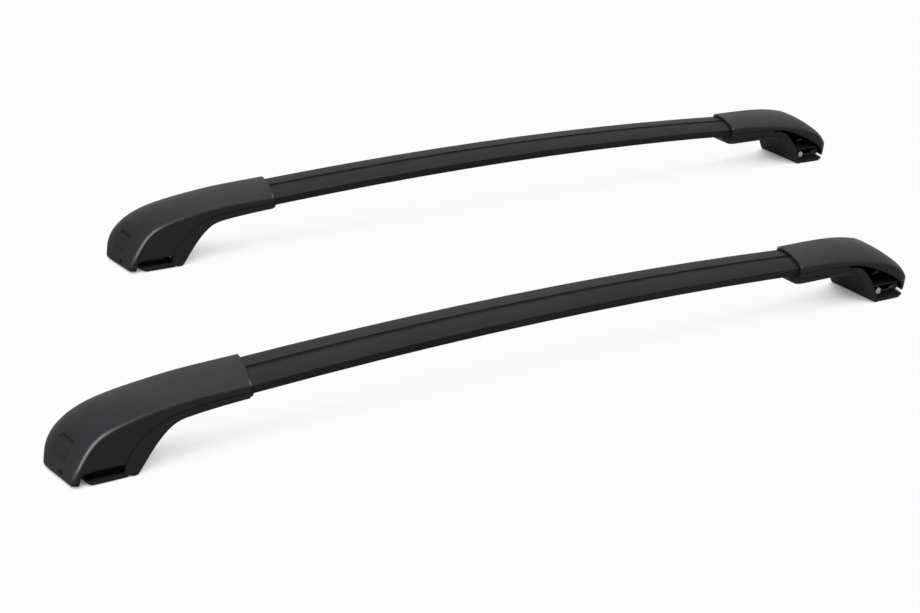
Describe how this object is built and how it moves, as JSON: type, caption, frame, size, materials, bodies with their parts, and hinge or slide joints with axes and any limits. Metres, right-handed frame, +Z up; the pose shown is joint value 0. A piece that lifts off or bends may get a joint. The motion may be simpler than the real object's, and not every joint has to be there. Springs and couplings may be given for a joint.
{
  "type": "roof crossbar pair",
  "caption": "Pair of arched black roof crossbars with a strip-filled top slot, on moulded clamp feet with an access flap, a bolt-drawn jaw and rubber pads.",
  "frame": {"origin": "on the ground midway between the two bars", "axes": "+X along the bars to the right end, +Y from the front bar to the rear bar, +Z up"},
  "size_m": [1.46, 0.4706, 0.0749],
  "materials": {
    "bar_black": "matt black anodised",
    "rubber_strip": "matt",
    "cover_black": "fine grained",
    "bracket_black": "fine grained",
    "rubber_pad": "matt",
    "jaw_steel": "black coated",
    "zinc_steel": "zinc plated",
    "bolt_steel": "zinc plated",
    "flap_black": "fine grained",
    "pin_steel": "plain",
    "screw_steel": "zinc plated"
  },
  "bodies": {
    "pair": {"front_bar": "bar_black", "front_slot_strip": "rubber_strip", "front_left_foot_cover": "cover_black", "front_left_foot_bracket": "bracket_black", "front_left_foot_pad": "rubber_pad", "front_left_flap_pin": "pin_steel", "front_left_bar_screws": "screw_steel", "front_right_foot_cover": "cover_black", "front_right_foot_bracket": "bracket_black", "front_right_foot_pad": "rubber_pad", "front_right_flap_pin": "pin_steel", "front_right_bar_screws": "screw_steel", "rear_bar": "bar_black", "rear_slot_strip": "rubber_strip", "rear_left_foot_cover": "cover_black", "rear_left_foot_bracket": "bracket_black", "rear_left_foot_pad": "rubber_pad", "rear_left_flap_pin": "pin_steel", "rear_left_bar_screws": "screw_steel", "rear_right_foot_cover": "cover_black", "rear_right_foot_bracket": "bracket_black", "rear_right_foot_pad": "rubber_pad", "rear_right_flap_pin": "pin_steel", "rear_right_bar_screws": "screw_steel"},
    "front_left_flap": {"front_left_access_flap": "flap_black"},
    "front_left_bolt": {"front_left_clamp_bolt": "bolt_steel"},
    "front_left_jaw": {"front_left_clamp_jaw": "jaw_steel", "front_left_cross_nut": "zinc_steel"},
    "front_right_flap": {"front_right_access_flap": "flap_black"},
    "front_right_bolt": {"front_right_clamp_bolt": "bolt_steel"},
    "front_right_jaw": {"front_right_clamp_jaw": "jaw_steel", "front_right_cross_nut": "zinc_steel"},
    "rear_left_flap": {"rear_left_access_flap": "flap_black"},
    "rear_left_bolt": {"rear_left_clamp_bolt": "bolt_steel"},
    "rear_left_jaw": {"rear_left_clamp_jaw": "jaw_steel", "rear_left_cross_nut": "zinc_steel"},
    "rear_right_flap": {"rear_right_access_flap": "flap_black"},
    "rear_right_bolt": {"rear_right_clamp_bolt": "bolt_steel"},
    "rear_right_jaw": {"rear_right_clamp_jaw": "jaw_steel", "rear_right_cross_nut": "zinc_steel"}
  },
  "joints": [
    {"name": "front_left_flap_turn", "type": "hinge", "parent": "pair", "child": "front_left_flap", "pos_m": [-0.7155, -0.2, 0.0305], "axis": [0, 1, 0], "range_deg": [0, 60]},
    {"name": "front_left_bolt_turn", "type": "hinge", "parent": "pair", "child": "front_left_bolt", "pos_m": [-0.6725, -0.2, 0.0109], "axis": [0.9432, 0, -0.3322], "range_deg": [0, 1261]},
    {"name": "front_left_jaw_slide", "type": "slide", "parent": "pair", "child": "front_left_jaw", "axis": [-0.9432, 0, 0.3322], "range_m": [0, 0.0035]},
    {"name": "front_right_flap_turn", "type": "hinge", "parent": "pair", "child": "front_right_flap", "pos_m": [0.4055, -0.2, 0.0305], "axis": [0, -1, 0], "range_deg": [0, 60]},
    {"name": "front_right_bolt_turn", "type": "hinge", "parent": "pair", "child": "front_right_bolt", "pos_m": [0.3625, -0.2, 0.0109], "axis": [-0.9432, 0, -0.3322], "range_deg": [0, 1261]},
    {"name": "front_right_jaw_slide", "type": "slide", "parent": "pair", "child": "front_right_jaw", "axis": [0.9432, 0, 0.3322], "range_m": [0, 0.0035]},
    {"name": "rear_left_flap_turn", "type": "hinge", "parent": "pair", "child": "rear_left_flap", "pos_m": [-0.4055, 0.2, 0.0305], "axis": [0, 1, 0], "range_deg": [0, 60]},
    {"name": "rear_left_bolt_turn", "type": "hinge", "parent": "pair", "child": "rear_left_bolt", "pos_m": [-0.3625, 0.2, 0.0109], "axis": [0.9432, 0, -0.3322], "range_deg": [0, 1261]},
    {"name": "rear_left_jaw_slide", "type": "slide", "parent": "pair", "child": "rear_left_jaw", "axis": [-0.9432, 0, 0.3322], "range_m": [0, 0.0035]},
    {"name": "rear_right_flap_turn", "type": "hinge", "parent": "pair", "child": "rear_right_flap", "pos_m": [0.7155, 0.2, 0.0305], "axis": [0, -1, 0], "range_deg": [0, 60]},
    {"name": "rear_right_bolt_turn", "type": "hinge", "parent": "pair", "child": "rear_right_bolt", "pos_m": [0.6725, 0.2, 0.0109], "axis": [-0.9432, 0, -0.3322], "range_deg": [0, 1261]},
    {"name": "rear_right_jaw_slide", "type": "slide", "parent": "pair", "child": "rear_right_jaw", "axis": [0.9432, 0, 0.3322], "range_m": [0, 0.0035]}
  ],
  "couplings": [
    {"joint": "front_left_bolt_turn", "follows": "front_left_jaw_slide", "rad_per_m": 6283.2},
    {"joint": "front_right_bolt_turn", "follows": "front_right_jaw_slide", "rad_per_m": 6283.2},
    {"joint": "rear_left_bolt_turn", "follows": "rear_left_jaw_slide", "rad_per_m": 6283.2},
    {"joint": "rear_right_bolt_turn", "follows": "rear_right_jaw_slide", "rad_per_m": 6283.2}
  ]
}
